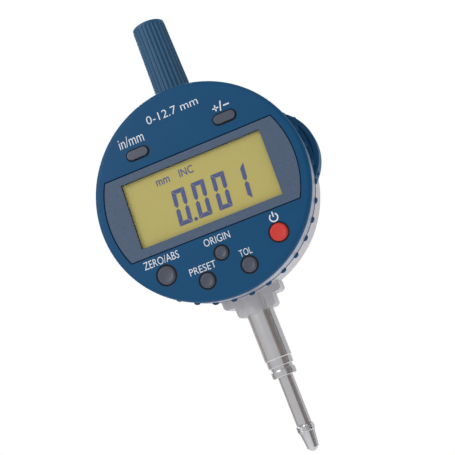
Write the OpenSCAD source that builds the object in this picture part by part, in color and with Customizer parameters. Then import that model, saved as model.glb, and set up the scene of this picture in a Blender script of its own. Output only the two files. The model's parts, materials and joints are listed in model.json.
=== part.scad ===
// Digital dial indicator: a round turning display head on a die-cast case,
// with a sprung measuring spindle in a clamping stem.
// X runs to the right of the display, Y runs to the back and Z runs up the spindle.
// The origin is on the stem's axis, half way along its clamping length.

/* [Display head] */
// Diameter of the round front cover
face_d = 62.2; // [60:0.1:76]
// From the front face back to the spindle's axis
face_to_axis = 18; // [17.5:0.1:24]
// Turn of the display head, clockwise from the front
head_turn = 2; // [-20:1:20]
// Depth of the front cover's rim
cover_rim = 2.1; // [1.8:0.1:3]
// Thickness of the front cover's plate
cover_plate = 2; // [1.6:0.1:2.4]
// Radius of the front cover's edge
cover_edge = 1.1; // [0.6:0.1:1.5]
// Depth of the metal band behind the cover
band_w = 6.1; // [5.5:0.1:8]
// Wall of the metal band
band_wall = 2; // [1.6:0.1:2.4]
// Wall of the cover's spigot inside the band
spigot_wall = 0.5; // [0.4:0.1:0.8]
// Width of the thin grip ring
grip_w = 0.4; // [0.3:0.1:0.8]
// Number of nubs round the grip ring
nub_count = 36; // [24:2:48]
// Length of a nub round the ring
nub_l = 1.9; // [1.4:0.1:2.4]
// Width of a nub across the ring
nub_w = 1.5; // [1:0.1:2]
// How far a nub stands out
nub_proud = 0.6; // [0.3:0.1:1]

/* [Window] */
// Height of the window band above the face's centre
window_top = 12.2; // [11:0.1:13]
// Depth of the window band below the face's centre
window_bottom = 12.6; // [11:0.1:13.5]
// Rim left between the window's round ends and the cover's edge
window_rim = 2.8; // [2.4:0.1:4]
// Thickness of the window mask
mask_t = 0.75; // [0.5:0.05:1]
// Width of the display opening
lcd_w = 42.3; // [36:0.1:43]
// Height of the display opening
lcd_h = 19.3; // [16:0.1:20]
// Depth of the display glass below the face
lcd_recess = 1.2; // [1:0.1:1.4]

/* [Buttons] */
// Travel of every button
button_travel = 0.6; // [0.4:0.05:0.7]
// How far a button stands out of the face
button_proud = 0.45; // [0.2:0.05:0.8]
// Gap round every button
button_gap = 0.3; // [0.2:0.05:0.4]
// Length of the two upper buttons
pill_l = 6.3; // [5:0.1:7]
// Height of the two upper buttons
pill_h = 2.6; // [2.2:0.1:3.2]
// Diameter of the zero button
zero_d = 5.3; // [4:0.1:5.5]
// Diameter of the power button
power_d = 5; // [4:0.1:5.5]
// Diameter of the preset and tolerance buttons
small_d = 4.3; // [3.4:0.1:4.6]
// Diameter of the origin button
origin_d = 3.8; // [3:0.1:4.2]
// Sideways place of the upper buttons
upper_x = 13.4; // [12:0.1:14]
// Height of the upper buttons above the centre
upper_z = 16.5; // [16:0.1:17.5]
// Sideways place of the zero and power buttons
outer_x = 16.7; // [16:0.1:17.5]
// Drop of the zero and power buttons below the centre
outer_z = 19; // [18:0.1:19.2]
// Sideways place of the preset and tolerance buttons
inner_x = 6.2; // [5.6:0.1:6.6]
// Drop of the preset and tolerance buttons below the centre
inner_z = 24.4; // [23.8:0.1:24.8]
// Drop of the origin button below the centre
origin_z = 18.6; // [18:0.1:19]

/* [Case] */
// From the spindle's axis to the flat back
axis_to_back = 6; // [5.5:0.1:9]
// Radius of the case's rear edge
case_edge = 4.5; // [3:0.1:5]
// Side wall of the case
case_wall = 2.2; // [1.8:0.1:3]
// Front and back walls of the case
plate_t = 1.2; // [1:0.1:1.6]
// Width of the foot's upper step
foot_w = 17.6; // [15:0.1:20]
// Width of the foot's lower step
foot_low_w = 11.6; // [10.8:0.1:14]
// Depth of the foot from front to back
foot_depth = 8.2; // [7:0.1:9]
// Height of the foot's lower step
foot_low_h = 3.5; // [2:0.1:5]
// Drop of the foot's underside below the case's edge
foot_drop = 5.1; // [4:0.1:8]
// Radius of the foot's corners
foot_edge = 1.2; // [0.5:0.1:1.6]

/* [Stem and spindle] */
// Diameter of the clamping stem
stem_d = 8; // [7.5:0.1:9.6]
// Clamping length of the stem
stem_l = 14.2; // [11:0.1:20]
// Diameter of the spindle
spindle_d = 4.4; // [4:0.1:4.6]
// Travel of the spindle
travel = 12.7; // [10:0.1:15.4]
// Length of the spindle between stem and contact point
spindle_out = 14.3; // [13.5:0.1:18]
// Length of the contact point
contact_l = 7.8; // [6:0.1:10]
// Diameter of the contact ball
ball_d = 3; // [2:0.1:3.4]

/* [Top cap] */
// Length of the top cap
cap_l = 27; // [24:0.1:34]
// Diameter of the cap at its foot
cap_d = 11.2; // [10.6:0.1:12.4]
// Diameter of the cap at its top
cap_top_d = 10.2; // [9.8:0.1:11]
// Number of flutes round the cap
flute_count = 26; // [18:1:36]

/* [Battery] */
// Diameter of the coin cell
cell_d = 20; // [16:0.1:20]
// Thickness of the coin cell
cell_t = 3.2; // [2:0.1:3.2]
// Height of the cell's centre above the face's centre
cell_z = 2; // [0:0.1:3]

/* [Hidden] */
$fn = 96;

// Clearances: pressed in, running, loose, and between faces of two bodies
press_gap = 0.02;
run_gap = 0.03;
loose_gap = 0.1;
body_gap = 0.2;
eps = 0.01;

// Stations from front to back
face_r = face_d / 2;
cover_y0 = -face_to_axis;
band_y0 = cover_y0 + cover_rim;
grip_y0 = band_y0 + band_w;
head_y1 = grip_y0 + grip_w;
case_y0 = head_y1 + body_gap;
case_y1 = axis_to_back;
plate_y1 = case_y0 + plate_t;
gasket_t = 0.3;
back_y0 = case_y1 - plate_t - gasket_t;

// Case
case_r = face_r - 0.2;
case_in_r = case_r - case_wall;
back_r = case_r - case_edge - 0.9;
ledge_w = 1.4;
foot_r = case_r + foot_drop;
foot_step_r = foot_r - foot_low_h;
stem_r = stem_d / 2;
shank_r = stem_r + 0.4;
boss_r = shank_r + 0.6;
face_z = stem_l / 2 + foot_r;
screw_pcr = case_r - 8.4;
screw_angle = 52;
case_screws = [for (s = [-1, 1], t = [-1, 1])
    [s * screw_pcr * cos(screw_angle), t * screw_pcr * sin(screw_angle)]];
case_post_r = 2.6;
thread_r = 0.8;

// Radius and height of each kind of screw head
case_screw = [1.8, 0.75];
board_screw = [1.4, 0.7];
head_screw = [1.6, 0.6];
carrier_screw_size = [1.3, 0.6];

// Head bearing: a hub of the head turns in the case's front wall
hub_r = 14;
hub_wall = 2.5;
hub_y1 = plate_y1 + 0.8;
circlip_t = 0.35;
stop_track_r = 20;
stop_pin_r = 1;
head_swing = 135;
stop_slack = 3.5;
stop_half = 180 - head_swing - asin((stop_pin_r + body_gap) / stop_track_r) - stop_slack;

// Inside the case, behind the hub
board_t = 0.8;
board_y0 = hub_y1 + 0.5;
board_y1 = board_y0 + board_t;
strip_t = 0.8;
strip_y0 = -spindle_d / 2 - 1.7;
carrier_y0 = strip_y0 + strip_t;
sensor_gap = 0.3;
post_z = 17.2;
board_x0 = -6.5;
board_x1 = 7.5;
board_half_z = 19.5;
board_posts = [for (x = [-4.5, 5.4], t = [-1, 1]) [x, t * post_z]];
board_post_r = 1.7;

// Spindle and what rides on it
spindle_r = spindle_d / 2;
bore_r = spindle_r + run_gap;
sleeve_r = stem_r - 1;
guide_l = 9.5;
nose_step = 2.2;
nose_step_in = 0.25;
nose_neck = 0.9;
collar_h = 2.1;
point_thread_r = 1.25;
point_thread_l = 6;
stem_z0 = -stem_l / 2;
nose_z0 = stem_z0 - nose_step - nose_neck - collar_h;
contact_z1 = nose_z0 - spindle_out;
stem_top = face_z - case_in_r + 2;
bush_flange = 0.8;
bumper_t = 1.2;
bumper_top = stem_top + bush_flange + bumper_t;
cap_z0 = face_z + case_r + 0.6;
cap_z1 = cap_z0 + cap_l;
cap_roof = 1.4;
cap_bore_r = 4.1;
bush_top = cap_z0 + 6;
spindle_top = cap_z1 - cap_roof - travel - 2;
carrier_z0 = face_z - 7;
carrier_h = 10;
carrier_w = 8;
carrier_y1 = spindle_r + 1.2;
guide_x = -9;
guide_r = 1;
guide_z0 = face_z - 20;
guide_z1 = face_z + 22;
lug_h = 3;
hook_x = 6;
hook_z = carrier_z0 + 2.5;
post_pin_z = face_z - 21.2;
pin_r = 0.8;
coil_r = 1.5;
wire_r = 0.22;
coil_turns = 13;

// Battery tray
ear_r = cell_d / 2 + 3.9;
cell_x = case_r - cell_d / 2 - 0.7;
floor_t = 0.6;
tray_y0 = board_y0;
cell_y0 = tray_y0 + floor_t + 0.05;
cell_y1 = cell_y0 + cell_t;
ear_y0 = case_y0 + 0.9;
ear_y1 = cell_y1 + 0.6;
slot_half = cell_d / 2 + 0.3;
leaf = [0.25, 2.5]; // thickness and width of a contact leaf
leaf_x0 = cell_x - cell_d / 2 + 6;
leaf_x1 = cell_x + cell_d / 2 - 4;

// Inside the head
cover_y1 = cover_y0 + cover_plate;
spigot_y1 = band_y0 + 2.2;
spigot_in_r = face_r - band_wall - spigot_wall;
band_in_r = face_r - band_wall;
back_plate_t = 1.3;
head_back_y0 = grip_y0 + grip_w - back_plate_t;
head_back_r = band_in_r - 1.2;
lens_y0 = cover_y0 + 0.65;
lens_t = 0.45;
lcd_y0 = cover_y0 + lcd_recess;
lcd_t = 1.8;
frame_y0 = lcd_y0 + lcd_t + 0.05;
flange_y0 = cover_y1 + 0.05;
flange_t = 0.5;
flange_lip = 0.2;
switch_t = 1.1;
disp_y0 = flange_y0 + flange_t + button_travel + 0.2 + switch_t;
disp_t = 1;
disp_y1 = disp_y0 + disp_t;
disp_r = band_in_r - 6;
head_post_r = 1.8;
head_post_pcr = face_r - 5.8;
head_post_angle = 62;
head_posts = [for (s = [-1, 1], t = [-1, 1])
    [s * head_post_pcr * cos(head_post_angle), t * head_post_pcr * sin(head_post_angle)]];
window_r = face_r - window_rim;
window_gap = 0.3;
round_buttons = [[-outer_x, -outer_z, zero_d], [outer_x, -outer_z, power_d],
    [-inner_x, -inner_z, small_d], [inner_x, -inner_z, small_d], [0, -origin_z, origin_d]];

// Colours
case_grey = "#a7a6a8";
band_grey = "#a6a8b4";
cover_blue = "#1c4d72";
steel = "#b9b9bd";
bright = "#d4d4d8";
bronze = "#b08d4f";
key_grey = "#4b505c";
board_green = "#2e6b45";
black = "#1d1e21";

// ---- Shapes used by more than one piece ----

// A flat shape drawn in X and Z, standing from y0 to y1
module slab(y0, y1) {
    translate([0, y1, 0])
        rotate([90, 0, 0])
            linear_extrude(y1 - y0)
                children();
}

// A solid of revolution about the Y axis from points [radius, y]
module turned(points) {
    rotate([90, 0, 0])
        rotate_extrude($fn = 144)
            polygon([for (p = points) [p[0], -p[1]]]);
}

// A round bar along Y at [x, z]
module bar_y(x, z, r, y0, y1) {
    translate([x, y1, z])
        rotate([90, 0, 0])
            cylinder(r = r, h = y1 - y0);
}

// A tube along Z
module tube_z(r_out, r_in, z0, z1) {
    translate([0, 0, z0])
        difference() {
            cylinder(r = r_out, h = z1 - z0);
            translate([0, 0, -1])
                cylinder(r = r_in, h = z1 - z0 + 2);
        }
}

// Points of a quarter round from angle a0 to a1 about [r, y]
function quarter(r, y, edge, a0, a1, steps = 8) =
    [for (i = [0 : steps]) let (a = a0 + (a1 - a0) * i / steps)
        [r + edge * cos(a), y + edge * sin(a)]];

// A rectangle with rounded corners, centred
module round_rect(w, h, r) {
    square([w - 2 * r, h], center = true);
    square([w, h - 2 * r], center = true);
    for (sx = [-1, 1], sy = [-1, 1])
        translate([sx * (w / 2 - r), sy * (h / 2 - r)])
            circle(r = r, $fn = 32);
}

// A bar with round ends
module pill(l, h) {
    square([l - h, h], center = true);
    for (s = [-1, 1])
        translate([s * (l - h) / 2, 0])
            circle(d = h, $fn = 48);
}

// Moves to the centre of the face
module at_face() {
    translate([0, 0, face_z])
        children();
}

// Moves to the centre of the face and turns with the head
module on_head() {
    translate([0, 0, face_z])
        rotate([0, head_turn, 0])
            children();
}

// A machine screw along Y, its head at the back
module screw_y(x, z, size, y0, y1) {
    head_r = size[0];
    head_h = size[1];
    bar_y(x, z, thread_r - press_gap, y0, y1 - head_h + eps);
    difference() {
        bar_y(x, z, head_r, y1 - head_h, y1);
        for (turn = [0, 90])
            translate([x, y1, z])
                rotate([0, turn, 0])
                    cube([head_r * 1.2, head_h, head_r * 0.3], center = true);
    }
}

// ---- Case ----

module foot_step(w, r_low, depth) {
    slab(-depth / 2, depth / 2)
        translate([0, -(r_low + case_in_r) / 2])
            round_rect(w, r_low - case_in_r, foot_edge);
}

module housing_body() {
    turned(concat([[0, case_y0], [case_r - 0.3, case_y0], [case_r, case_y0 + 0.3]],
        quarter(case_r - case_edge, case_y1 - case_edge, case_edge, 0, 90),
        [[0, case_y1]]));
    foot_step(foot_w, foot_step_r, foot_depth);
    foot_step(foot_low_w, foot_r, foot_depth - 0.6);
    translate([0, 0, -foot_r])
        cylinder(r = boss_r, h = foot_drop + case_wall);
    translate([0, 0, case_in_r])
        cylinder(r = cap_d / 2 - 0.2, h = cap_z0 - 0.2 - face_z - case_in_r);
}

module housing_posts() {
    for (p = case_screws)
        bar_y(p[0], p[1], case_post_r, plate_y1 - eps, back_y0);
    for (p = board_posts)
        bar_y(p[0], p[1], board_post_r, plate_y1 - eps, board_y0);
    for (z = [guide_z0, guide_z1 - lug_h])
        translate([guide_x - 2, plate_y1 - eps, z - face_z])
            cube([4, guide_r + 1.4 - plate_y1, lug_h]);
    translate([0, 0, case_in_r - 4])
        cylinder(r = cap_bore_r + 1.3, h = 5);
    bar_y(hook_x, post_pin_z - face_z, 1.8, plate_y1 - eps, plate_y1 + 1);
}

module housing() {
    color(case_grey)
        at_face()
            difference() {
                union() {
                    difference() {
                        housing_body();
                        turned([[0, plate_y1], [case_in_r, plate_y1],
                            [case_in_r, back_y0 - 3], [back_r - ledge_w, back_y0],
                            [back_r, back_y0], [back_r, case_y1 + 1], [0, case_y1 + 1]]);
                    }
                    difference() {
                        housing_posts();
                        bar_y(0, 0, back_r, back_y0, case_y1 + 1);
                    }
                }
                bar_y(0, 0, hub_r + run_gap, case_y0 - 1, plate_y1 + 1);
                translate([0, 0, -foot_r - 1])
                    cylinder(r = shank_r + press_gap, h = bumper_top - face_z + foot_r + 1);
                translate([0, 0, case_in_r - 5])
                    cylinder(r = cap_bore_r - 0.1 + press_gap, h = 12);
                for (p = case_screws)
                    bar_y(p[0], p[1], thread_r, back_y0 - 6, back_y0 + 1);
                for (p = board_posts)
                    bar_y(p[0], p[1], thread_r, plate_y1 - 0.4, board_y0 + 1);
                translate([guide_x, 0, guide_z0 - face_z + 0.8])
                    cylinder(r = guide_r + press_gap, h = guide_z1 - guide_z0 + 1);
                bar_y(hook_x, post_pin_z - face_z, pin_r + press_gap, plate_y1 - 0.5,
                    plate_y1 + 2);
                bar_y(0, stop_track_r, stop_pin_r + press_gap, case_y0 - 1, plate_y1 + 1);
                translate([cell_x, 0, cell_z])
                    translate([0, tray_y0 - body_gap, -slot_half])
                        cube([case_r, ear_y1 - tray_y0 - 0.2, 2 * slot_half]);
            }
}

module back_cover() {
    color(steel)
        at_face()
            difference() {
                bar_y(0, 0, back_r - loose_gap, back_y0 + gasket_t, case_y1);
                for (p = case_screws) {
                    bar_y(p[0], p[1], thread_r + loose_gap, back_y0, case_y1 + 1);
                    bar_y(p[0], p[1], case_screw[0] + loose_gap, case_y1 - case_screw[1] - 0.05,
                        case_y1 + 1);
                }
            }
}

module back_gasket() {
    color(black)
        at_face()
            difference() {
                bar_y(0, 0, back_r - loose_gap, back_y0, back_y0 + gasket_t);
                bar_y(0, 0, back_r - ledge_w, back_y0 - 1, back_y0 + 1);
            }
}

module back_cover_screws() {
    color(bright)
        at_face()
            for (p = case_screws)
                screw_y(p[0], p[1], case_screw, back_y0 - 4.5, case_y1 - press_gap);
}

// Its clamping length below the foot, its thicker shank in the foot
module stem() {
    color(steel)
        difference() {
            union() {
                translate([0, 0, stem_z0])
                    cylinder(r = stem_r, h = stem_l);
                translate([0, 0, -stem_z0])
                    cylinder(r = shank_r, h = stem_top + stem_z0);
                translate([0, 0, stem_z0 - nose_step])
                    cylinder(r = stem_r - nose_step_in, h = nose_step + eps);
            }
            translate([0, 0, stem_z0 - nose_step - 1])
                cylinder(r = sleeve_r, h = stem_top - stem_z0 + nose_step + 2);
        }
}

// Ring nut and lower guide at the stem's end
module stem_nose() {
    z_neck = stem_z0 - nose_step;
    chamfer = 0.35;
    color(bright)
        rotate_extrude()
            polygon([[bore_r, nose_z0], [stem_r - 0.6, nose_z0],
                [stem_r - 0.4, nose_z0 + 0.2],
                [stem_r - 0.4, nose_z0 + collar_h - chamfer],
                [stem_r - 0.4 - chamfer, nose_z0 + collar_h],
                [stem_r - 0.8, nose_z0 + collar_h], [stem_r - 0.8, z_neck],
                [sleeve_r - press_gap, z_neck], [sleeve_r - press_gap, z_neck + guide_l],
                [bore_r, z_neck + guide_l]]);
}

module stem_bush() {
    color(bronze)
        rotate_extrude()
            polygon([[bore_r, stem_top - guide_l], [sleeve_r - press_gap, stem_top - guide_l],
                [sleeve_r - press_gap, stem_top], [shank_r - 0.1, stem_top],
                [shank_r - 0.1, stem_top + bush_flange], [bore_r, stem_top + bush_flange]]);
}

module stop_bumper() {
    color(black)
        tube_z(stem_r - 0.3, spindle_r + 0.25, stem_top + bush_flange, bumper_top - 0.05);
}

module top_bush() {
    color(bronze)
        difference() {
            translate([0, 0, face_z + case_in_r - 4])
                cylinder(r = cap_bore_r - 0.1, h = bush_top - face_z - case_in_r + 4);
            translate([0, 0, face_z + case_in_r - 5])
                cylinder(r = bore_r, h = 30);
        }
}

module guide_rod() {
    color(bright)
        translate([guide_x, 0, guide_z0 + 0.8])
            cylinder(r = guide_r, h = guide_z1 - guide_z0 - 0.8, $fn = 48);
}

module spring_post() {
    color(bright)
        at_face()
            bar_y(hook_x, post_pin_z - face_z, pin_r, plate_y1 - 0.5, coil_r + 0.6);
}

module head_stop_pin() {
    color(bright)
        at_face()
            bar_y(0, stop_track_r, stop_pin_r, head_y1 - 0.5, plate_y1);
}

module reader_board() {
    color(board_green)
        at_face()
            difference() {
                slab(board_y0, board_y1)
                    translate([board_x0, -board_half_z])
                        square([board_x1 - board_x0, 2 * board_half_z]);
                for (p = board_posts)
                    bar_y(p[0], p[1], thread_r + loose_gap, board_y0 - 1, board_y1 + 1);
            }
}

module reader_sensor() {
    color(black)
        at_face()
            slab(board_y1, strip_y0 - sensor_gap)
                translate([-4, -6])
                    square([8, 11]);
}

module reader_screws() {
    color(bright)
        at_face()
            for (p = board_posts)
                screw_y(p[0], p[1], board_screw, plate_y1, board_y1 + board_screw[1]);
}

module flex_cable() {
    color("#b5762f")
        at_face()
            slab(disp_y1 + 1.4, board_y0)
                square([6, 0.3], center = true);
}

// Two sprung leaves behind the coin cell
module battery_contacts() {
    color(bright)
        at_face()
            for (side = [-1, 1])
                translate([leaf_x0, cell_y1 + 0.15, cell_z + side * 4 - leaf[1] / 2]) {
                    cube([leaf_x1 - leaf_x0, leaf[0], leaf[1]]);
                    translate([0, 0, 0.6])
                        cube([0.6, back_y0 - cell_y1 - 0.3, 1.3]);
                }
}

// ---- Spindle ----

module spindle() {
    chamfer = 0.5;
    color(bright)
        difference() {
            union() {
                translate([0, 0, contact_z1])
                    cylinder(r = spindle_r, h = spindle_top - contact_z1 - chamfer);
                translate([0, 0, spindle_top - chamfer])
                    cylinder(r1 = spindle_r, r2 = spindle_r - chamfer, h = chamfer);
            }
            translate([0, 0, contact_z1 - 1])
                cylinder(r = point_thread_r, h = point_thread_l + 2, $fn = 48);
        }
}

module contact_point() {
    knurl_h = 2.3;
    cone_z0 = contact_z1 - contact_l + ball_d * 0.3;
    color(steel)
        union() {
            translate([0, 0, contact_z1 - 0.05])
                cylinder(r = point_thread_r - press_gap, h = point_thread_l, $fn = 48);
            rotate_extrude($fn = 64)
                difference() {
                    polygon([[0, cone_z0], [ball_d / 2 + 0.15, cone_z0],
                        [spindle_r, contact_z1 - knurl_h],
                        [spindle_r + 0.2, contact_z1 - knurl_h],
                        [spindle_r + 0.35, contact_z1 - knurl_h + 0.2],
                        [spindle_r + 0.35, contact_z1 - 0.3],
                        [spindle_r + 0.15, contact_z1 - 0.05], [0, contact_z1 - 0.05]]);
                    translate([0, contact_z1 - contact_l + ball_d / 2])
                        circle(r = ball_d / 2 + press_gap, $fn = 64);
                }
        }
}

module contact_ball() {
    color(bright)
        translate([0, 0, contact_z1 - contact_l + ball_d / 2])
            sphere(d = ball_d, $fn = 48);
}

module stop_collar() {
    color(steel)
        tube_z(spindle_r + 1.2, spindle_r + press_gap, bumper_top, bumper_top + 2.4);
}

// Block clamped on the spindle; its arm runs on the guide rod
module scale_carrier() {
    color(bright)
        difference() {
            union() {
                translate([-carrier_w / 2, carrier_y0, carrier_z0])
                    cube([carrier_w, carrier_y1 - carrier_y0, carrier_h]);
                translate([guide_x - 2, -2, carrier_z0 + 2])
                    cube([-guide_x, 4, carrier_h - 4]);
                translate([3, -1.6, hook_z - 1.6])
                    cube([hook_x - 1.4, 1.2, 3.2]);
            }
            translate([0, 0, carrier_z0 - 1])
                cylinder(r = spindle_r + press_gap, h = carrier_h + 2);
            translate([guide_x, 0, carrier_z0])
                cylinder(r = guide_r + run_gap, h = carrier_h, $fn = 48);
            bar_y(0, carrier_z0 + carrier_h / 2, thread_r, spindle_r, carrier_y1 + 1);
            bar_y(hook_x, hook_z, pin_r + press_gap, -3, 3);
        }
}

module carrier_screw() {
    color(steel)
        screw_y(0, carrier_z0 + carrier_h / 2, carrier_screw_size, spindle_r + 0.05,
            carrier_y1 + carrier_screw_size[1]);
}

module spring_hook() {
    color(steel)
        bar_y(hook_x, hook_z, pin_r, -1.6, coil_r + 0.6);
}

module scale_strip() {
    color("#c9cfd6")
        translate([-3.5, strip_y0, face_z - 18])
            cube([7, strip_t - press_gap, 26.5]);
}

// Coil ring of the spring: points of one round wire section
function coil_point(i, steps, z0, z1, a) =
    let (t = i / steps, turn = 360 * coil_turns * t, r = coil_r + wire_r * cos(a))
        [hook_x + r * cos(turn), 0.4 + r * sin(turn), z0 + (z1 - z0) * t + wire_r * sin(a)];

module return_spring() {
    sides = 8;
    steps = coil_turns * 16;
    z0 = post_pin_z + pin_r + wire_r + 0.1;
    z1 = hook_z - 1.6 - wire_r - 0.1;
    rings = [for (i = [0 : steps], k = [0 : sides - 1])
        coil_point(i, steps, z0, z1, 360 * k / sides)];
    side_faces = [for (i = [0 : steps - 1], k = [0 : sides - 1])
        [i * sides + k, i * sides + (k + 1) % sides,
            (i + 1) * sides + (k + 1) % sides, (i + 1) * sides + k]];
    start = [for (k = [sides - 1 : -1 : 0]) k];
    finish = [for (k = [0 : sides - 1]) steps * sides + k];
    color(bright)
        polyhedron(points = rings, faces = concat(side_faces, [start, finish]));
}

// ---- Top cap ----

module top_cap() {
    flute_r = cap_d * 0.05;
    flute_h = cap_l - 1;
    lean = atan((cap_d - cap_top_d) / 2 / cap_l);
    color(cover_blue)
        translate([0, 0, cap_z0])
            difference() {
                union() {
                    cylinder(r1 = cap_d / 2, r2 = cap_top_d / 2, h = cap_l - 0.4);
                    translate([0, 0, cap_l - 0.4])
                        cylinder(r1 = cap_top_d / 2, r2 = cap_top_d / 2 - 0.4, h = 0.4);
                }
                translate([0, 0, -1])
                    cylinder(r = cap_bore_r, h = cap_l - cap_roof + 1);
                for (i = [0 : flute_count - 1])
                    rotate([0, 0, i * 360 / flute_count])
                        translate([cap_d / 2 + flute_r - 0.3, 0, -1])
                            rotate([0, -lean, 0])
                                cylinder(r = flute_r, h = flute_h, $fn = 24);
            }
}

// ---- Battery ----

module outside_case(clear) {
    difference() {
        square(4 * case_r, center = true);
        circle(r = case_r + clear, $fn = 144);
    }
}

module battery_tray() {
    rim = 1.4;
    face_drop = 0.8;
    color(cover_blue)
        at_face()
            difference() {
                union() {
                    slab(ear_y0, ear_y1)
                        intersection() {
                            translate([cell_x, cell_z])
                                circle(r = ear_r);
                            outside_case(body_gap / 2);
                            translate([cell_x, -case_r])
                                square(2 * case_r);
                        }
                    slab(tray_y0, tray_y0 + floor_t)
                        translate([cell_x - cell_d / 2 - 1, cell_z - cell_d / 2 + 0.6])
                            square([case_r - cell_x + cell_d / 2 + 1.6, cell_d - 1.2]);
                    slab(tray_y0, cell_y1)
                        translate([cell_x - cell_d / 2 - 1, cell_z - 5])
                            square([0.9, 10]);
                }
                slab(ear_y0 - 1, ear_y0 + face_drop)
                    intersection() {
                        translate([cell_x, cell_z])
                            circle(r = ear_r - rim);
                        outside_case(1.2);
                        translate([cell_x, -case_r])
                            square(2 * case_r);
                    }
            }
}

module coin_cell() {
    color(bright)
        at_face() {
            bar_y(cell_x, cell_z, cell_d / 2, cell_y0 + 0.8, cell_y1);
            bar_y(cell_x, cell_z, cell_d / 2 - 1.4, cell_y0, cell_y0 + 0.8 + eps);
        }
}

module tray_seal() {
    inner = case_r - 0.9;
    color(black)
        at_face()
            difference() {
                slab(tray_y0 + floor_t, ear_y1 - 0.5)
                    intersection() {
                        translate([0, cell_z - 5])
                            square([case_r + 1, 10]);
                        difference() {
                            circle(r = case_r);
                            circle(r = inner + 0.3);
                        }
                    }
                bar_y(cell_x, cell_z, cell_d / 2 + 0.05, tray_y0, ear_y1);
            }
}

// ---- Display head ----

module window_shape(shrink) {
    intersection() {
        circle(r = window_r - shrink, $fn = 144);
        translate([-face_r, -window_bottom + shrink])
            square([face_d, window_top + window_bottom - 2 * shrink]);
    }
}

module display_opening(grow) {
    square([lcd_w + 2 * grow, lcd_h + 2 * grow], center = true);
}

module at_pill_buttons() {
    for (s = [-1, 1])
        translate([s * upper_x, upper_z])
            children();
}

module front_cover() {
    color(cover_blue)
        on_head()
            difference() {
                union() {
                    turned(concat([[0, cover_y0]],
                        quarter(face_r - cover_edge, cover_y0 + cover_edge, cover_edge, -90, 0),
                        [[face_r, band_y0], [band_in_r - 0.05, band_y0],
                            [band_in_r - 0.05, spigot_y1], [spigot_in_r, spigot_y1],
                            [spigot_in_r, cover_y1], [0, cover_y1]]));
                    for (p = head_posts)
                        bar_y(p[0], p[1], head_post_r, cover_y1 - eps, head_back_y0 - 0.05);
                }
                slab(cover_y0 - 1, cover_y0 + mask_t + 0.05)
                    window_shape(0);
                slab(cover_y0 - 1, cover_y1 + 1)
                    display_opening(0.1);
                slab(cover_y0 - 1, cover_y1 + 1)
                    at_pill_buttons()
                        pill(pill_l + 2 * button_gap, pill_h + 2 * button_gap);
                for (b = round_buttons)
                    bar_y(b[0], b[1], b[2] / 2 + button_gap, cover_y0 - 1, cover_y1 + 1);
                for (p = head_posts)
                    bar_y(p[0], p[1], thread_r, head_back_y0 - 4.5, head_back_y0 + 1);
            }
}

module window_mask() {
    color("#4b5a73")
        on_head()
            slab(cover_y0 + 0.03, cover_y0 + mask_t + 0.03)
                difference() {
                    window_shape(window_gap);
                    display_opening(0);
                }
}

module window_lens() {
    color("#dfe6ea", 0.35)
        on_head()
            slab(lens_y0, lens_y0 + lens_t)
                display_opening(-0.02);
}

module lcd_panel() {
    color("#b4ac64")
        on_head()
            slab(lcd_y0, lcd_y0 + lcd_t)
                display_opening(-0.02);
}

module lcd_frame() {
    color("#e8e8e4")
        on_head()
            slab(frame_y0, disp_y0 - 0.02)
                difference() {
                    display_opening(0.6);
                    for (s = [-1, 1])
                        translate([0, s * (lcd_h / 2 - 1.5)])
                            square([lcd_w - 4, 2], center = true);
                }
}

module contact_strips() {
    color(black)
        on_head()
            slab(frame_y0, disp_y0 - 0.02)
                for (s = [-1, 1])
                    translate([0, s * (lcd_h / 2 - 1.5)])
                        square([lcd_w - 4.2, 1.8], center = true);
}

module display_board() {
    color(board_green)
        on_head()
            bar_y(0, 0, disp_r, disp_y0, disp_y1);
}

module driver_chip() {
    color(black)
        on_head()
            slab(disp_y1, disp_y1 + 1)
                translate([-9, 9])
                    square([7, 7], center = true);
}

module board_connector() {
    color("#d9d3c2")
        on_head()
            slab(disp_y1, disp_y1 + 1.2)
                square([7, 2.2], center = true);
}

module key_switches() {
    plunger = 0.25;
    color(bright)
        on_head() {
            for (b = concat([[-upper_x, upper_z], [upper_x, upper_z]], round_buttons)) {
                slab(disp_y0 - switch_t + plunger, disp_y0 - 0.02)
                    translate([b[0], b[1]])
                        square([3.2, 3.2], center = true);
                bar_y(b[0], b[1], 0.8, disp_y0 - switch_t, disp_y0 - switch_t + plunger + eps);
            }
        }
}

module head_band() {
    edge = 0.25;
    color(band_grey)
        on_head()
            turned([[band_in_r, band_y0 + 0.02], [face_r - edge, band_y0 + 0.02],
                [face_r - 0.1, band_y0 + edge], [face_r - 0.1, grip_y0 - edge],
                [face_r - 0.1 - edge, grip_y0 - 0.02], [head_back_r + 0.1, grip_y0 - 0.02],
                [head_back_r + 0.1, head_back_y0 - 0.3], [band_in_r, head_back_y0 - 0.9]]);
}

// Radius of the round that spans a chord and rises above it
function round_over(chord, rise) = (chord * chord / 4 + rise * rise) / (2 * rise);

// One nub at angle 0: a low mound, round along the ring and across it
module nub() {
    along = round_over(nub_l, nub_proud);
    across = round_over(nub_w, nub_proud);
    intersection() {
        translate([face_r + nub_proud - along, 0, 0])
            rotate([90, 0, 0])
                cylinder(r = along, h = 2 * nub_w, center = true, $fn = 48);
        translate([face_r + nub_proud - across, 0, -nub_l])
            cylinder(r = across, h = 2 * nub_l, $fn = 48);
        translate([face_r - 0.05, -nub_w, -nub_l])
            cube([nub_proud + 1, 2 * nub_w, 2 * nub_l]);
    }
}

module grip_ring() {
    color(cover_blue)
        on_head() {
            difference() {
                bar_y(0, 0, face_r, grip_y0, head_y1);
                bar_y(0, 0, head_back_r + 0.1, grip_y0 - 1, head_y1 + 1);
            }
            for (i = [0 : nub_count - 1])
                rotate([0, (i + 0.5) * 360 / nub_count, 0])
                    translate([0, (grip_y0 + head_y1) / 2, 0])
                        nub();
        }
}

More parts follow.
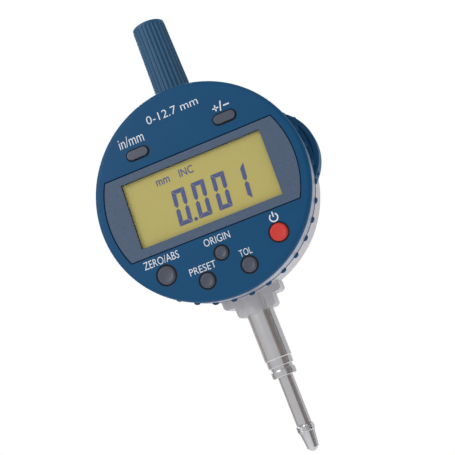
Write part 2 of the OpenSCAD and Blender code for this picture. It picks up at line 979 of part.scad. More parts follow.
// Back plate of the head; its hub turns in the case and its track meets the stop pin
module head_back() {
    track_w = stop_pin_r + body_gap;
    color(black)
        on_head()
            difference() {
                union() {
                    bar_y(0, 0, head_back_r, head_back_y0, head_y1);
                    bar_y(0, 0, hub_r, head_back_y0, hub_y1);
                }
                bar_y(0, 0, hub_r - hub_wall, head_back_y0 - 1, hub_y1 + 1);
                difference() {
                    bar_y(0, 0, hub_r + 1, hub_y1 - circlip_t - 0.45, hub_y1 - 0.35);
                    bar_y(0, 0, hub_r - 0.75, hub_y1 - 2, hub_y1 + 1);
                }
                slab(head_y1 - 0.8, head_y1 + 0.01)
                    difference() {
                        circle(r = stop_track_r + track_w);
                        circle(r = stop_track_r - track_w);
                        rotate(-head_turn)
                            polygon([[0, 0], [-face_r * tan(stop_half), -face_r],
                                [face_r * tan(stop_half), -face_r]]);
                    }
                for (p = head_posts) {
                    bar_y(p[0], p[1], thread_r + loose_gap, head_back_y0 - 1, head_y1 + 1);
                    bar_y(p[0], p[1], 1.7, head_y1 - 0.7, head_y1 + 1);
                }
            }
}

module head_screws() {
    color(bright)
        on_head()
            for (p = head_posts)
                screw_y(p[0], p[1], head_screw, head_back_y0 - 4, head_y1 - 0.05);
}

module head_circlip() {
    color(steel)
        on_head()
            slab(hub_y1 - circlip_t - 0.4, hub_y1 - 0.4)
                difference() {
                    circle(r = hub_r + 1.3);
                    circle(r = hub_r - 0.7);
                    translate([-2.5, 0])
                        square([5, 2 * hub_r]);
                }
}

// Low-friction ring between the head and the case
module glide_ring() {
    color("#e5e2da")
        on_head()
            slab(head_y1, case_y0 - 0.05)
                difference() {
                    circle(r = head_back_r - 0.3);
                    circle(r = head_back_r - 2);
                }
}

// ---- Buttons ----

module button_round(x, z, d) {
    chamfer = 0.45;
    top = cover_y0 - button_proud;
    flange_r = d / 2 + button_gap + flange_lip;
    on_head()
        translate([x, 0, z])
            turned([[0, top], [d / 2 - chamfer, top], [d / 2, top + chamfer],
                [d / 2, flange_y0], [flange_r, flange_y0],
                [flange_r, flange_y0 + flange_t], [0, flange_y0 + flange_t]]);
}

module button_pill(x, z) {
    chamfer = 0.35;
    top = cover_y0 - button_proud;
    on_head()
        translate([x, 0, z]) {
            slab(top, top + chamfer + eps)
                pill(pill_l - 2 * chamfer, pill_h - 2 * chamfer);
            slab(top + chamfer, flange_y0 + eps)
                pill(pill_l, pill_h);
            slab(flange_y0, flange_y0 + flange_t)
                pill(pill_l + 2 * (button_gap + flange_lip),
                    pill_h + 2 * (button_gap + flange_lip));
        }
}

module button_unit() { color(key_grey) button_pill(-upper_x, upper_z); }
module button_sign() { color(key_grey) button_pill(upper_x, upper_z); }
module button_zero() { color(key_grey) button_round(-outer_x, -outer_z, zero_d); }
module button_power() { color("#c83c32") button_round(outer_x, -outer_z, power_d); }
module button_preset() { color(key_grey) button_round(-inner_x, -inner_z, small_d); }
module button_tolerance() { color(key_grey) button_round(inner_x, -inner_z, small_d); }
module button_origin() { color(key_grey) button_round(0, -origin_z, origin_d); }

housing();
back_cover();
back_cover_screws();
back_gasket();
stem();
stem_nose();
stem_bush();
top_bush();
guide_rod();
stop_bumper();
spring_post();
reader_board();
reader_sensor();
reader_screws();
battery_contacts();
head_stop_pin();
flex_cable();
spindle();
contact_point();
contact_ball();
stop_collar();
scale_carrier();
carrier_screw();
scale_strip();
spring_hook();
return_spring();
top_cap();
battery_tray();
coin_cell();
tray_seal();
front_cover();
head_band();
grip_ring();
head_back();
head_screws();
head_circlip();
glide_ring();
window_mask();
window_lens();
lcd_panel();
lcd_frame();
contact_strips();
display_board();
driver_chip();
board_connector();
key_switches();
button_unit();
button_sign();
button_zero();
button_power();
button_preset();
button_tolerance();
button_origin();
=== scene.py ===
# %% [markdown]
# # A digital dial indicator, finished in Blender
# A dial indicator measures small distances. Its spindle slides in a clamping stem, and a
# round head shows the reading. The working model gives every piece its size and its place,
# and this lesson gives the pieces their surfaces: rounded edges, print, knurl and finishes.

# %% Load the working model as a fixed frame
import json
from math import asin, atan2, cos, degrees, hypot, pi, radians, sin, sqrt

import bmesh
import bpy
from mathutils import Matrix, Vector


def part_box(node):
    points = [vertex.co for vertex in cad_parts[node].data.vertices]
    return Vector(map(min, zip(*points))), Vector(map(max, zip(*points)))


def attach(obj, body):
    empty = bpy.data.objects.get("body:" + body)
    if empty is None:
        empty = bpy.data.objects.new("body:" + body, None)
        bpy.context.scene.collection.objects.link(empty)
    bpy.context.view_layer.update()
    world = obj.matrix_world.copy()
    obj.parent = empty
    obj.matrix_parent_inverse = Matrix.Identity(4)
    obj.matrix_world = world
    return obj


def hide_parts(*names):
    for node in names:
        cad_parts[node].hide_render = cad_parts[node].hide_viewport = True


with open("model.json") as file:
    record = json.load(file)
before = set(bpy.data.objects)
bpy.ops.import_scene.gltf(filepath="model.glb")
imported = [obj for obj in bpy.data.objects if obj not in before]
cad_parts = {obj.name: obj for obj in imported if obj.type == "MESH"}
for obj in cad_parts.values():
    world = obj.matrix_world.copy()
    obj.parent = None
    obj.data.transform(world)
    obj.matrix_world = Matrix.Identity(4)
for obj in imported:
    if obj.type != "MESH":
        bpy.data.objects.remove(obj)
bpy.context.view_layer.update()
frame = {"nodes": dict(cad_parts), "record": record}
print("nodes in the frame:", len(frame["nodes"]))

# %% [markdown]
# ## Where everything is
# The pieces are modelled in millimetres, because whole numbers are easier to read, and are
# made metres when they are put in place. The display head can turn, so its pieces are
# modelled upright about the middle of the face and turned with the head at the end.

# %% Find the stations of the head
MM = 0.001


def span(node):
    """Lowest and highest corner of a frame node, in millimetres"""
    low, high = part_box(node)
    return low / MM, high / MM


def middle(node):
    """Centre of a frame node, in millimetres"""
    low, high = span(node)
    return (low + high) / 2


cover_low, cover_high = span("front_cover")
face_z = middle("front_cover").z
face_r = (cover_high.x - cover_low.x) / 2
face_y = cover_low.y
band_low, band_high = span("head_band")
band_y0, band_y1 = band_low.y, band_high.y
zero_at, power_at = middle("button_zero"), middle("button_power")
head_turn = atan2(zero_at.z - power_at.z, power_at.x - zero_at.x)

in_place = Matrix.Scale(MM, 4)
head_place = in_place @ Matrix.Translation((0, 0, face_z)) @ Matrix.Rotation(head_turn, 4, "Y")
print(f"face radius {face_r:.1f} mm at height {face_z:.1f} mm, turned {degrees(head_turn):.1f} deg")

# %% [markdown]
# ## The tools used for every piece
# Most pieces of a gauge are turned on a lathe or cut from a flat outline. So one helper
# draws a line of points by extruding a single vertex, the next two spin that line about an
# axis or fill and thicken it, and the others select, cut, round and place.
# An operator acts on all that is selected, so each tool first deselects everything, and
# faces and edges are then selected by a test on their place or their normal.

# %% Begin, select and draw
def begin():
    """Leaves edit mode and deselects everything, because an operator acts on all selected"""
    if bpy.context.mode != "OBJECT":
        bpy.ops.object.mode_set(mode="OBJECT")
    bpy.ops.object.select_all(action="DESELECT")


def activate(piece):
    """Makes one piece the only selected and the active one"""
    begin()
    piece.select_set(True)
    bpy.context.view_layer.objects.active = piece


def added(name):
    """Names the primitive just added and moves its place into its mesh"""
    piece = bpy.context.object
    piece.name = name
    bpy.ops.object.transform_apply(location=True, rotation=True, scale=True)
    return piece


def select(piece, parts, wanted):
    """In edit mode, selects the verts, edges or faces for which wanted(part) is true"""
    activate(piece)
    bpy.ops.object.mode_set(mode="EDIT")
    bpy.ops.mesh.select_mode(type={"verts": "VERT", "edges": "EDGE", "faces": "FACE"}[parts])
    bpy.ops.mesh.select_all(action="DESELECT")
    shape = bmesh.from_edit_mesh(piece.data)
    for part in getattr(shape, parts):
        if wanted(part):
            part.select_set(True)
    shape.select_flush_mode()
    bmesh.update_edit_mesh(piece.data)


def draw(name, points):
    """Draws a line through points by extruding one vertex, and stays in edit mode"""
    begin()
    bpy.ops.mesh.primitive_plane_add(size=1)
    piece = added(name)
    bpy.ops.object.mode_set(mode="EDIT")
    bpy.ops.mesh.select_mode(type="VERT")
    bpy.ops.mesh.select_all(action="SELECT")
    bpy.ops.mesh.merge(type="CENTER")
    bpy.ops.transform.translate(value=points[0])
    for here, there in zip(points, points[1:]):
        step = [b - a for a, b in zip(here, there)]
        bpy.ops.mesh.extrude_vertices_move(TRANSFORM_OT_translate={"value": step})
    bpy.ops.mesh.select_all(action="SELECT")
    return piece


def seal(near=0.002):
    """Merges doubles and turns every face outwards, then leaves edit mode"""
    bpy.ops.mesh.select_all(action="SELECT")
    bpy.ops.mesh.remove_doubles(threshold=near)
    bpy.ops.mesh.normals_make_consistent(inside=False)
    bpy.ops.object.mode_set(mode="OBJECT")


print("tools to select and draw are ready")

# %% [markdown]
# A lathe turns a profile round an axis, and a saw cuts a plate along an outline. Spin and
# extrude do the same here. A closed profile comes back to its first point or has both ends
# on the axis, so that the mesh has no hole.

# %% Turn a profile, or cut a plate from an outline
def turned(name, profile, along="Y", steps=144):
    """Spins (radius, place along the axis) points into a closed round piece"""
    if along == "Y":
        points, axis = [(r, t, 0) for r, t in profile], (0, 1, 0)
    else:
        points, axis = [(r, 0, t) for r, t in profile], (0, 0, 1)
    piece = draw(name, points)
    bpy.ops.mesh.spin(steps=steps, angle=2 * pi, center=(0, 0, 0), axis=axis)
    seal()
    return piece


def plate(name, outline, y0, y1):
    """Fills an outline of (x, z) points at y0 and thickens it to y1"""
    piece = draw(name, [(x, y0, z) for x, z in outline + outline[:1]])
    bpy.ops.mesh.remove_doubles(threshold=0.0005)
    bpy.ops.mesh.select_all(action="SELECT")
    bpy.ops.mesh.edge_face_add()
    bpy.ops.mesh.extrude_region_move(TRANSFORM_OT_translate={"value": (0, y1 - y0, 0)})
    seal(0.0005)
    return piece


def arc(x, y, r, start, end, count):
    """Points on a round of radius r about (x, y), between two angles in degrees"""
    angles = [radians(start + (end - start) * i / count) for i in range(count + 1)]
    return [(x + r * cos(a), y + r * sin(a)) for a in angles]


def slot_outline(x, z, length, height):
    """A bar with round ends"""
    reach = max(length - height, 0) / 2
    return (arc(x + reach, z, height / 2, -90, 90, 14) +
            arc(x - reach, z, height / 2, 90, 270, 14))


def box_outline(x, z, width, height):
    """A rectangle about (x, z)"""
    return [(x + sx * width / 2, z + sz * height / 2)
            for sx, sz in ((-1, -1), (1, -1), (1, 1), (-1, 1))]


print("tools to turn and cut plates are ready")

# %% [markdown]
# Modifiers do the finishing: a Boolean cuts or joins, a Bevel rounds and Weighted Normal keeps
# flat faces flat beside a rounded edge. Cutting leaves slivers that would show as creases, so
# they are merged away before and after the bevel. What merges first depends on the order of
# the vertices, which a cut leaves to chance, so they are sorted before. At the end each piece
# is put in place and told which body it moves with.

# %% Cut, join, round and place
def modify(piece, kind, **settings):
    """Adds one modifier and applies it"""
    activate(piece)
    modifier = piece.modifiers.new(kind.title(), kind)
    for setting, value in settings.items():
        setattr(modifier, setting, value)
    bpy.ops.object.modifier_apply(modifier=modifier.name)


def cut(piece, tool, how="DIFFERENCE"):
    """Cuts one shape from a piece, or joins it on, and throws the shape away"""
    modify(piece, "BOOLEAN", operation=how, object=tool, solver="EXACT")
    bpy.data.objects.remove(tool)


def soften(piece, width, over=40, segments=2):
    """Rounds every edge that turns by more than an angle, in degrees"""
    modify(piece, "BEVEL", width=width, segments=segments, limit_method="ANGLE",
           angle_limit=radians(over), use_clamp_overlap=False, miter_outer="MITER_ARC")


def put_in_order():
    """Sorts a piece's parts by their distance from a far point, the same way in each run"""
    cursor = bpy.context.scene.cursor
    cursor.location = (211.3, -157.9, 97.1)
    bpy.ops.mesh.sort_elements(type="CURSOR_DISTANCE", elements={"VERT", "EDGE", "FACE"})
    cursor.location = (0, 0, 0)


def heal(piece):
    """Merges the tiny edges and the flat slivers that cutting leaves"""
    select(piece, "faces", lambda f: True)
    put_in_order()
    bpy.ops.mesh.remove_doubles(threshold=0.002)
    put_in_order()
    bpy.ops.mesh.dissolve_limited(angle_limit=radians(0.5))
    bpy.ops.object.mode_set(mode="OBJECT")


def copy_of(node, name):
    """A merged copy of a frame node's mesh, in millimetres"""
    activate(frame["nodes"][node])
    bpy.ops.object.duplicate()
    piece = bpy.context.object
    piece.name = name
    piece.parent = None
    for key in list(piece.keys()):
        del piece[key]
    piece.data.transform(Matrix.Scale(1 / MM, 4))
    heal(piece)
    return piece


def settle(piece, place, body, finish, nodes=(), smooth=35):
    """Smooths a finished piece, puts its mesh in place, gives it its finish, hides the frame nodes it
    replaces and hangs it on its body
    """
    activate(piece)
    bpy.ops.object.shade_smooth_by_angle(angle=radians(smooth))
    modify(piece, "WEIGHTED_NORMAL", keep_sharp=True)
    piece.data.transform(place)
    piece.data.update()
    piece.data.materials.clear()
    piece.data.materials.append(finish)
    if nodes:
        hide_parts(*nodes)
    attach(piece, body)
    sides = [round(side / MM, 1) for side in piece.dimensions]
    print(f"{piece.name}: {len(piece.data.polygons)} faces, {sides} mm")


print("tools to cut, round and place are ready")

# %% [markdown]
# ## Shader maths as sentences
# A procedural finish is a small sum of patterns. A class wraps a socket, so that adding or
# multiplying two patterns in Python adds the Math nodes that do the same in the shader.

# %% Wrap a socket
class Pattern:
    """A value that varies over a surface"""

    def __init__(self, finish, socket):
        self.finish, self.socket = finish, socket

    def maths(self, operation, first, second):
        return self.finish.add("ShaderNodeMath", {"operation": operation}, {0: first, 1: second})

    def __add__(self, other):
        return self.maths("ADD", self, other)

    def __mul__(self, other):
        return self.maths("MULTIPLY", self, other)

    __radd__ = __add__
    __rmul__ = __mul__


print("patterns can be added and multiplied")

# %% [markdown]
# A finish is a material with tools of its own. One method adds any node, and the others give
# names to what is used most: noise, a number or a colour between two, a band and a relief.
# A pattern is placed by the piece's own coordinates, so it stays put when the piece moves.

# %% Build a material from patterns
class Finish:
    """A material that is built from patterns"""

    def __init__(self, name):
        self.material = bpy.data.materials.new(name)
        self.material.use_nodes = True
        self.tree = self.material.node_tree
        self.shader = self.tree.nodes["Principled BSDF"]
        self.place = self.add("ShaderNodeTexCoord", {}, {}, "Object")

    def join(self, value, socket):
        """Sets a socket, or links a pattern to it"""
        if isinstance(value, Pattern):
            self.tree.links.new(value.socket, socket)
        else:
            socket.default_value = value

    def add(self, kind, settings, sockets, output=0):
        """Adds any node: its settings first, then the values or links of its sockets"""
        node = self.tree.nodes.new(kind)
        for setting, value in settings.items():
            setattr(node, setting, value)
        for socket, value in sockets.items():
            self.join(value, node.inputs[socket])
        return Pattern(self, node.outputs[output])

    def stretched(self, scale):
        """The place on the piece, in millimetres times a scale for each axis"""
        scale = [side / MM for side in scale]
        return self.add("ShaderNodeMapping", {}, {"Vector": self.place, "Scale": scale})

    def noise(self, scale=(1, 1, 1), detail=3.0, rough=0.5):
        """Cloudy noise from 0 to 1; a scale of 2 gives two patches a millimetre"""
        return self.add("ShaderNodeTexNoise", {}, {"Vector": self.stretched(scale),
                        "Scale": 1.0, "Detail": detail, "Roughness": rough}, "Fac")

    def between(self, mask, low, high):
        """A number that goes from low to high as a mask goes from 0 to 1"""
        return mask * (high - low) + low

    def blend(self, mask, first, second):
        """A colour that goes from first to second as a mask goes from 0 to 1"""
        return self.add("ShaderNodeMix", {"data_type": "RGBA"},
                        {"Factor": mask, 6: first, 7: second}, 2)

    def band(self, pattern, low, high):
        """Stretches the part of a pattern between low and high to 0 and 1"""
        return self.add("ShaderNodeMapRange", {}, {"Value": pattern, "From Min": low,
                        "From Max": high}, "Result")

    def relief(self, height, depth):
        """Raises a surface by a pattern times a depth in millimetres"""
        return self.add("ShaderNodeBump", {}, {"Height": height, "Distance": depth * MM,
                        "Strength": 1.0}, "Normal")

    def done(self, **sockets):
        """Fills the shader's own sockets and gives the material back"""
        for name, value in sockets.items():
            self.join(value, self.shader.inputs[name.replace("_", " ")])
        return self.material


print("materials can be built from patterns")

# %% [markdown]
# A colour is given as the three numbers that a display shows, and made linear, because a
# shader adds and mixes light.

# %% Mix a colour
def tone(red, green, blue):
    """A colour in display values from 0 to 255, as linear light"""
    light = [v / 255 for v in (red, green, blue)]
    light = [v / 12.92 if v < 0.04 else ((v + 0.055) / 1.055) ** 2.4 for v in light]
    return (*light, 1.0)


def shaded(colour, share):
    """A colour made darker or lighter by a share"""
    return [min(1, v * share) for v in colour[:3]] + [1]


print("a tone of 128 is", round(tone(128, 128, 128)[0], 3), "in linear light")

# %% [markdown]
# ## Plastics and rubber
# The blue cover, ring, cap and tray are one moulded plastic with a fine satin grain. Grain
# is two noises, one of nine patches a millimetre in the relief and a broad one that
# moves the tint and the gloss a little, so that a large flat face doesn't look like paint.

# %% Moulded plastic
def moulded(name, colour, rough, grain=0.004, gloss=0.25, tint=0.1):
    """A moulded plastic with a fine grain and a slightly uneven gloss"""
    finish = Finish(name)
    broad = finish.noise((0.12, 0.12, 0.12), 2.0)
    fine = finish.noise((9, 9, 9), 2.0)
    dark, light = shaded(colour, 1 - tint), shaded(colour, 1 + tint)
    return finish.done(
        Base_Color=finish.blend(broad * 0.7 + fine * 0.3, dark, light),
        Roughness=finish.between(finish.noise((1.5, 1.5, 1.5)), rough - 0.05, rough + 0.05),
        Specular_IOR_Level=gloss, Normal=finish.relief(fine, grain))


blue_plastic = moulded("Blue moulded plastic", tone(16, 74, 114), 0.42, gloss=0.15)
# The cap is the cover's blue made lighter. The lighter tone is painted sheen, and the higher gloss is
# real.
cap_plastic_painted_sheen = moulded("Blue cap plastic with painted sheen", tone(38, 84, 118), 0.4, gloss=0.3)
key_grey = moulded("Grey key plastic", tone(70, 76, 90), 0.28, 0.004, 0.45)
key_red = moulded("Red key plastic", tone(205, 52, 44), 0.3, 0.002, 0.45, 0.05)
print_white = moulded("White print", tone(226, 228, 234), 0.5, 0.002)
white_plastic = moulded("White moulded plastic", tone(222, 220, 210), 0.45)
glide_white = moulded("Slippery white ring", tone(224, 220, 208), 0.35)
chip_black = moulded("Black moulded epoxy", tone(34, 35, 38), 0.5, 0.01)
black_rubber = moulded("Black rubber", tone(26, 26, 27), 0.75, 0.015, 0.3)
cable_amber = moulded("Amber polyimide film", tone(176, 112, 44), 0.3, 0.001, 0.5)
segment_ink = moulded("Display segment", tone(74, 84, 132), 0.5, 0.001, 0.1, 0.04)
print("plastics made")

# %% [markdown]
# ## The window panel and the display
# The panel round the display is printed with a slate colour that has a fine lighter speckle,
# made by stretching the middle of a noise. The display glass is a warm yellow that drifts
# slowly between two tints. The window is nearly clear, with a haze that moves its gloss.

# %% Slate panel, display glass and window
def speckled_panel():
    finish = Finish("Slate window panel")
    fleck = finish.band(finish.noise((5, 5, 5), 1.0), 0.42, 0.66)
    colour = finish.blend(fleck, tone(70, 86, 108), tone(90, 105, 128))
    return finish.done(Base_Color=colour, Roughness=0.55, Specular_IOR_Level=0.2,
                       Normal=finish.relief(fleck, 0.004))


def display_glass():
    finish = Finish("Yellow display glass")
    drift = finish.noise((0.05, 0.05, 0.05), 1.0)
    grain = finish.noise((14, 14, 14), 1.0)
    warm = finish.blend(drift, tone(194, 178, 92), tone(184, 176, 96))
    colour = finish.blend(grain * 0.25, warm, tone(166, 150, 76))
    return finish.done(Base_Color=colour, Roughness=0.5, Specular_IOR_Level=0.2)


def clear_window():
    finish = Finish("Clear window")
    haze = finish.noise((0.4, 0.4, 0.4), 2.0)
    return finish.done(Base_Color=tone(200, 205, 215), Roughness=finish.between(haze, 0.04, 0.1),
                       Alpha=finish.between(haze, 0.02, 0.04), IOR=1.4)


mask_slate = speckled_panel()
lcd_yellow = display_glass()
lens_clear = clear_window()
print("panel, display and window made")

# %% [markdown]
# ## Metals
# Die-cast metal has a fine pebbled skin, while turned and ground metal shows thin lines round
# its axis. Lines are a noise that is squeezed along the axis and stretched round it. The same
# noise moves the tint, the gloss and the relief together, as real tool marks do.

# %% Cast, ground and plated metal
def cast_metal(name, colour, rough, pebble=0.012):
    """Satin die-cast metal with a pebbled skin"""
    finish = Finish(name)
    skin = finish.noise((4, 4, 4), 3.0)
    broad = finish.noise((0.15, 0.15, 0.15), 3.0)
    mottle = broad * 0.5 + skin * 0.5
    return finish.done(
        Base_Color=finish.blend(broad * 0.6 + skin * 0.4, shaded(colour, 0.9), colour),
        Metallic=0.55, Roughness=finish.between(mottle, rough - 0.06, rough + 0.08),
        Normal=finish.relief(skin, pebble))


def lined_metal(name, colour, rough, scale, depth=0.0015, metallic=0.95):
    """Ground or turned metal; the largest number in scale is across the lines"""
    finish = Finish(name)
    lines = finish.noise(scale, 4.0, 0.6)
    cloud = finish.noise((0.3, 0.3, 0.3), 2.0)
    marks = lines * 0.6 + cloud * 0.4
    return finish.done(
        Base_Color=finish.blend(marks, shaded(colour, 0.82), colour), Metallic=metallic,
        Roughness=finish.between(marks, rough - 0.06, rough + 0.08),
        Normal=finish.relief(lines, depth))


across_z = (0.4, 0.4, 14)
case_metal = cast_metal("Die-cast case metal", tone(202, 201, 205), 0.42)
band_metal = lined_metal("Satin band metal", tone(184, 187, 200), 0.36, (0.3, 12, 0.3), 0.001, 0.7)
back_steel = lined_metal("Turned back cover", tone(196, 196, 198), 0.32, (0.6, 0.6, 9), 0.002)
screw_steel = lined_metal("Plated screw steel", tone(198, 197, 194), 0.28, (3, 3, 3))
stem_steel = lined_metal("Ground stem steel", tone(222, 221, 225), 0.2, across_z)
spindle_steel = lined_metal("Hardened spindle steel", tone(226, 225, 229), 0.16, across_z)
ball_steel = lined_metal("Polished ball", tone(206, 206, 210), 0.1, (0.5, 0.5, 0.5), 0.0005)
bush_bronze = lined_metal("Machined bronze", tone(184, 146, 88), 0.3, across_z)
spring_steel = lined_metal("Spring wire", tone(176, 176, 178), 0.28, (2, 2, 6))
carrier_alloy = lined_metal("Milled alloy", tone(192, 193, 197), 0.34, (6, 0.6, 0.6))
cell_steel = lined_metal("Nickel-plated cell", tone(206, 205, 200), 0.24, (0.5, 0.5, 7))
switch_metal = lined_metal("Stamped switch tin", tone(190, 190, 188), 0.35, (5, 5, 0.8))
print("metals made")

# %% [markdown]
# ## Circuit boards and the scale
# Boards are laminate under a green coating, with copper tracks that show through as slightly
# lighter lines. The measuring scale is a strip with fine bars at an even pitch. Both are
# wave textures, distorted for the tracks and straight for the bars.

# %% Coated laminate and the coded strip
def coated_board():
    finish = Finish("Green coated laminate")
    tracks = finish.add("ShaderNodeTexWave", {"bands_direction": "X"},
                        {"Vector": finish.stretched((0.5, 0.5, 0.5)), "Scale": 1.0,
                         "Distortion": 3.0, "Detail": 1.0}, "Fac")
    copper = finish.band(tracks, 0.55, 0.7)
    weave = finish.noise((8, 8, 8), 1.0)
    return finish.done(Base_Color=finish.blend(copper, tone(30, 92, 58), tone(66, 132, 86)),
                       Roughness=0.35, Normal=finish.relief(copper + weave * 0.2, 0.01))


def coded_strip():
    finish = Finish("Coded scale strip")
    bars = finish.add("ShaderNodeTexWave", {"bands_direction": "Z"},
                      {"Vector": finish.stretched((0.6, 0.6, 0.6)), "Scale": 1.0}, "Fac")
    line = finish.band(bars, 0.45, 0.55)
    return finish.done(Base_Color=finish.blend(line, tone(196, 204, 214), tone(150, 112, 60)),
                       Roughness=0.25)


board_green = coated_board()
scale_glass = coded_strip()
print("boards made")

# %% [markdown]
# ## Finishes on the pieces inside
# The pieces behind the covers already have the right shape, so they stay as they are and
# only get the finish that their slot in the record names.

# %% Give every frame node a finish
finishes = {
    "case_metal": case_metal, "band_metal": band_metal, "blue_plastic": blue_plastic,
    "back_steel": back_steel, "screw_steel": screw_steel, "black_rubber": black_rubber,
    "stem_steel": stem_steel, "spindle_steel": spindle_steel, "ball_steel": ball_steel,
    "bush_bronze": bush_bronze, "spring_steel": spring_steel, "board_green": board_green,
    "chip_black": chip_black, "cable_amber": cable_amber, "scale_glass": scale_glass,
    "carrier_alloy": carrier_alloy, "cell_steel": cell_steel, "glide_white": glide_white,
    "mask_slate": mask_slate, "lens_clear": lens_clear, "lcd_yellow": lcd_yellow,
    "frame_white": white_plastic, "switch_metal": switch_metal, "key_grey": key_grey,
    "key_red": key_red}
for part in frame["record"]["subparts"]:
    for holder in frame["nodes"][part["node"]].material_slots:
        holder.material = finishes[part["material_slot"]]

# %% [markdown]
# ## What the cover, the panel and the keys share
# The openings of the cover follow the nodes that sit in them. The head is turned on the case,
# so a node's box is wider than the node. Its points are turned back before it is measured.

# %% Measure the nodes of the head upright
glass_y = span("lcd_panel")[0].y
plate_y = glass_y + 0.8
panel_y0, panel_y1 = span("window_mask")[0].y, span("window_mask")[1].y


def head_local(node):
    """Centre of a node of the head, measured from the middle of the upright face"""
    return Matrix.Rotation(-head_turn, 3, "Y") @ (middle(node) - Vector((0, 0, face_z)))


def upright_size(node):
    """Width and height of a node of the head before it is turned"""
    turn = Matrix.Rotation(-head_turn, 3, "Y")
    points = [turn @ vertex.co / MM for vertex in frame["nodes"][node].data.vertices]
    width = max(p.x for p in points) - min(p.x for p in points)
    return width, max(p.z for p in points) - min(p.z for p in points)


lens_fit = 0.04
opening_w, opening_h = (side + lens_fit for side in upright_size("window_lens"))
panel_w, panel_h = upright_size("window_mask")
panel_mid = head_local("window_mask").z
panel_floor, panel_top = panel_mid - panel_h / 2, panel_mid + panel_h / 2
panel_r, panel_gap = panel_w / 2, 0.3
print(f"display opening {opening_w:.1f} x {opening_h:.1f} mm, panel {panel_w:.1f} mm wide")


def panel_outline(grow):
    """A circle cut off straight at two heights, larger all round by grow"""
    r = panel_r + grow
    low = degrees(asin((panel_floor - grow) / r))
    high = degrees(asin((panel_top + grow) / r))
    return arc(0, 0, r, low, high, 40) + arc(0, 0, r, 180 - high, 180 - low, 40)


# %% Measure the keys
flange_over = 1.0
key_gap = 0.4
key_names = ["unit", "sign", "zero", "power", "preset", "tolerance", "origin"]
keys = {}
for name in key_names:
    at = head_local("button_" + name)
    width, height = upright_size("button_" + name)
    keys[name] = (at.x, at.z, width - flange_over, height - flange_over)
    print(f"key {name}: at {at.x:.1f}, {at.z:.1f}, {keys[name][2]:.1f} x {keys[name][3]:.1f} mm")

# %% [markdown]
# ## The front cover
# The cover is a round plastic lid with a softly rounded front edge. It is turned from its
# profile, and then the window recess, the display opening and the key holes are cut from it.
# A cutting shape reaches a millimetre past both faces, so that no thin skin is left. A small
# bevel on every cut edge gives the thin bright line that a moulded edge shows.

# %% Turn the cover and cut its openings
through = 1.0


def opened(piece, outline):
    """Cuts an outline right through the cover's plate or the panel"""
    cut(piece, plate("opening", outline, face_y - through, plate_y + through))


edge_r = 1.35
rim_in = face_r - 2.05
rim_y = band_y0 - 0.02
step_y, step_in = plate_y + 2, rim_in - 0.5
cover = turned("Front_cover", [(0, face_y)] +
               arc(face_r - edge_r, face_y + edge_r, edge_r, -90, 0, 10) +
               [(face_r, rim_y - 0.02), (face_r - 0.15, rim_y), (rim_in, rim_y),
                (rim_in, step_y), (step_in, step_y), (step_in, plate_y), (0, plate_y)], steps=192)
cut(cover, plate("recess", panel_outline(panel_gap), face_y - through, panel_y1 + 0.02))
opened(cover, box_outline(0, 0, opening_w + 0.2, opening_h + 0.2))
for x, z, width, height in keys.values():
    opened(cover, slot_outline(x, z, width + 2 * key_gap, height + 2 * key_gap))
heal(cover)
soften(cover, 0.13)
heal(cover)
settle(cover, head_place, "head", blue_plastic, ["front_cover"])

# %% [markdown]
# ## The window panel
# The panel drops into the recess with a thin dark gap round it. It is the same outline as
# the recess, made smaller by the gap, with the display opening cut through it.

# %% Cut the panel
panel = plate("Window_panel", panel_outline(0), panel_y0, panel_y1)
opened(panel, box_outline(0, 0, opening_w, opening_h))
soften(panel, 0.07)
settle(panel, head_place, "head", mask_slate, ["window_mask"])

# %% [markdown]
# ## The reading
# A liquid crystal display draws each digit from bars with slanted ends, leaning a little to
# the right. Two bars are drawn, as outlines of four and five points, and the others are the
# same two turned over. A list says where each digit stands and which bars it lights.

# %% Draw the bars of a digit
digit_w, digit_h, bar_w, bar_gap, lean = 3.95, 10.3, 1.22, 0.07, 0.068
digit_base = -7.4
half_h = digit_h / 2
bars = {
    "top": [(bar_gap, digit_h), (digit_w - bar_gap, digit_h),
            (digit_w - bar_w - bar_gap, digit_h - bar_w), (bar_w + bar_gap, digit_h - bar_w)],
    "upper_left": [(0, digit_h - bar_gap), (bar_w, digit_h - bar_w - bar_gap),
                   (bar_w, half_h + bar_w * 0.6), (bar_w * 0.5, half_h + bar_gap),
                   (0, half_h + bar_w * 0.6)],
}


def mirrored(outline, left_right, up_down):
    """The same bar on the other side of the digit"""
    return [(digit_w - x if left_right else x, digit_h - z if up_down else z)
            for x, z in outline]


bars["bottom"] = mirrored(bars["top"], False, True)
bars["lower_left"] = mirrored(bars["upper_left"], False, True)
bars["upper_right"] = mirrored(bars["upper_left"], True, False)
bars["lower_right"] = mirrored(bars["upper_left"], True, True)
print("bars:", ", ".join(bars))

# %% [markdown]
# The bars are thin plates that lie just above the yellow glass. Joined, they are one piece,
# as the display's ink is one layer.

# %% Lay out the reading
zero_bars = ["top", "bottom", "upper_left", "lower_left", "upper_right", "lower_right"]
one_bars = ["upper_right", "lower_right"]
reading = [(-8.87, zero_bars), (-2.89, zero_bars), (3.19, zero_bars), (9.15, one_bars)]
point_x, point_z, point_r = -3.85, -7.0, 0.54
ink_y0, ink_y1 = glass_y - 0.05, glass_y - 0.01


def leaning(outline, x, z):
    """Moves an outline to its place and leans it"""
    return [(x + px + lean * pz, z + pz) for px, pz in outline]


def joined(name, pieces):
    """Makes several shapes one piece"""
    begin()
    for piece in pieces:
        piece.select_set(True)
    bpy.context.view_layer.objects.active = pieces[0]
    bpy.ops.object.join()
    pieces[0].name = name
    return pieces[0]


ink = [plate("bar", leaning(bars[bar], x, digit_base), ink_y0, ink_y1)
       for x, lit in reading for bar in lit]
ink.append(plate("point", arc(point_x, point_z, point_r, 0, 345, 23), ink_y0, ink_y1))
segments = joined("Display_segments", ink)
settle(segments, head_place, "head", segment_ink)

# %% [markdown]
# ## Lettering
# The keys are named in plain white print. Text starts as a curve, so it is made a mesh before
# it is stood upright, stretched to its width and height, and laid on the face.

